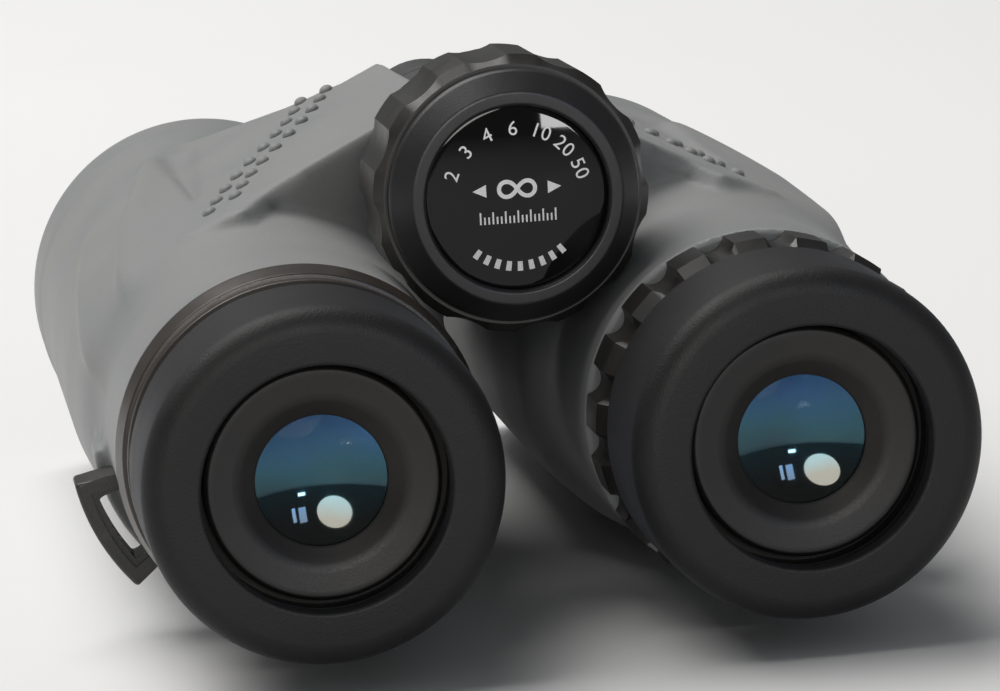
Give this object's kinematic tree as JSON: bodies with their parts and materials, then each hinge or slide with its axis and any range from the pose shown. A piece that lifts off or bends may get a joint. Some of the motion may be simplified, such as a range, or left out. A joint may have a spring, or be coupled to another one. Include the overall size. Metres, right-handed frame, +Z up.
{
  "type": "roof-prism binoculars",
  "caption": "Hand-held roof-prism binoculars for night-sky viewing, with a central hinge and focus knob, twist-up eyecups and a dioptre ring.",
  "frame": {"origin": "on the table under the hinge, at mid length, where the binoculars lie on the bellies of their barrels", "axes": "+X to the user's right, +Y the way the binoculars look, +Z up"},
  "size_m": [0.1118, 0.145, 0.0709],
  "materials": {
    "chassis": "matt black glass-fibre reinforced polycarbonate",
    "armour": "matt light grey moulded rubber",
    "black_rubber": "soft black rubber with a dull sheen",
    "black_metal": "black anodised aluminium",
    "satin_metal": "satin warm black anodised aluminium",
    "grip": "fine matt brown-black moulding",
    "black_plastic": "matt black moulding",
    "badge": "glossy black plate with white marks",
    "steel": "turned steel",
    "brass": "turned brass",
    "coated_glass": "coated optical glass",
    "prism_glass": "optical glass"
  },
  "bodies": {
    "left_half": {"left_barrel": "chassis", "left_armour": "armour", "left_strap_lug": "black_plastic", "left_objective_spacer": "black_metal", "left_objective_flint": "coated_glass", "left_objective_crown": "coated_glass", "left_objective_seal": "black_rubber", "left_objective_ring": "black_metal", "left_prism_cage": "black_metal", "left_half_penta_prism": "prism_glass", "left_roof_prism": "prism_glass", "left_field_stop": "black_metal", "left_field_lens": "prism_glass", "left_ocular_tube": "black_metal", "left_face_ring": "satin_metal", "left_eye_lens": "coated_glass", "left_base_ring": "satin_metal", "hinge_axle": "steel", "hinge_collar": "black_metal", "hinge_washers": "steel", "hinge_nut": "black_metal", "tripod_bush": "brass"},
    "right_half": {"right_barrel": "chassis", "right_armour": "armour", "right_strap_lug": "black_plastic", "right_objective_spacer": "black_metal", "right_objective_flint": "coated_glass", "right_objective_crown": "coated_glass", "right_objective_seal": "black_rubber", "right_objective_ring": "black_metal", "right_prism_cage": "black_metal", "right_half_penta_prism": "prism_glass", "right_roof_prism": "prism_glass"},
    "right_ocular": {"right_field_stop": "black_metal", "right_field_lens": "prism_glass", "right_ocular_tube": "black_metal", "right_face_ring": "satin_metal", "right_eye_lens": "coated_glass"},
    "left_eyecup_seal": {"left_eyecup_glide": "black_plastic"},
    "left_eyecup": {"left_eyecup_sleeve": "black_plastic", "left_eyecup_rubber": "black_rubber"},
    "right_eyecup_seal": {"right_eyecup_glide": "black_plastic"},
    "right_eyecup": {"right_eyecup_sleeve": "black_plastic", "right_eyecup_rubber": "black_rubber"},
    "dioptre_ring": {"dioptre_ring": "grip"},
    "focus_knob": {"focus_screw": "steel", "knob_core": "black_plastic", "knob_grip": "grip", "knob_bezel": "satin_metal", "knob_badge": "badge", "knob_fixing_screw": "steel"},
    "focus_nut": {"focus_nut": "brass"},
    "left_focus_cell": {"left_focus_cell": "black_metal", "left_focus_lens": "prism_glass"},
    "right_focus_cell": {"right_focus_cell": "black_metal", "right_focus_lens": "prism_glass"}
  },
  "joints": [
    {"name": "fold", "type": "hinge", "parent": "left_half", "child": "right_half", "pos_m": [0, 0, 0.05356], "axis": [0, -1, 0], "range_deg": [-3.4, 42.6]},
    {"name": "focus_turn", "type": "hinge", "parent": "left_half", "child": "focus_knob", "pos_m": [0, -0.034, 0.05356], "axis": [0, -1, 0], "range_deg": [-270, 270]},
    {"name": "focus_nut_slide", "type": "slide", "parent": "left_half", "child": "focus_nut", "axis": [0, 1, 0], "range_m": [-0.00452, 0.00452]},
    {"name": "left_focus_slide", "type": "slide", "parent": "left_half", "child": "left_focus_cell", "axis": [0, 1, 0], "range_m": [-0.00452, 0.00452]},
    {"name": "right_focus_slide", "type": "slide", "parent": "right_half", "child": "right_focus_cell", "axis": [0, 1, 0], "range_m": [-0.00452, 0.00452]},
    {"name": "left_eyecup_rise", "type": "slide", "parent": "left_half", "child": "left_eyecup_seal", "axis": [0, -1, 0], "range_m": [0, 0.00802]},
    {"name": "left_eyecup_twist", "type": "hinge", "parent": "left_eyecup_seal", "child": "left_eyecup", "pos_m": [-0.02885, -0.064, 0.0257], "axis": [0, -1, 0], "range_deg": [0, 90]},
    {"name": "dioptre_turn", "type": "hinge", "parent": "right_half", "child": "dioptre_ring", "pos_m": [0.02885, -0.0515, 0.0257], "axis": [0, -1, 0], "range_deg": [-45, 45]},
    {"name": "right_ocular_slide", "type": "slide", "parent": "right_half", "child": "right_ocular", "axis": [0, -1, 0], "range_m": [-0.00096, 0.00096]},
    {"name": "right_eyecup_rise", "type": "slide", "parent": "right_ocular", "child": "right_eyecup_seal", "axis": [0, -1, 0], "range_m": [0, 0.00802]},
    {"name": "right_eyecup_twist", "type": "hinge", "parent": "right_eyecup_seal", "child": "right_eyecup", "pos_m": [0.02885, -0.064, 0.0257], "axis": [0, -1, 0], "range_deg": [0, 90]}
  ],
  "couplings": [
    {"joint": "focus_nut_slide", "follows": "focus_turn", "m_per_rad": 0.00095493},
    {"joint": "left_focus_slide", "follows": "focus_turn", "m_per_rad": 0.00095493},
    {"joint": "right_focus_slide", "follows": "focus_turn", "m_per_rad": 0.00095493},
    {"joint": "left_eyecup_rise", "follows": "left_eyecup_twist", "m_per_rad": 0.005093},
    {"joint": "right_eyecup_rise", "follows": "right_eyecup_twist", "m_per_rad": 0.005093},
    {"joint": "right_ocular_slide", "follows": "dioptre_turn", "m_per_rad": 0.0011459}
  ]
}
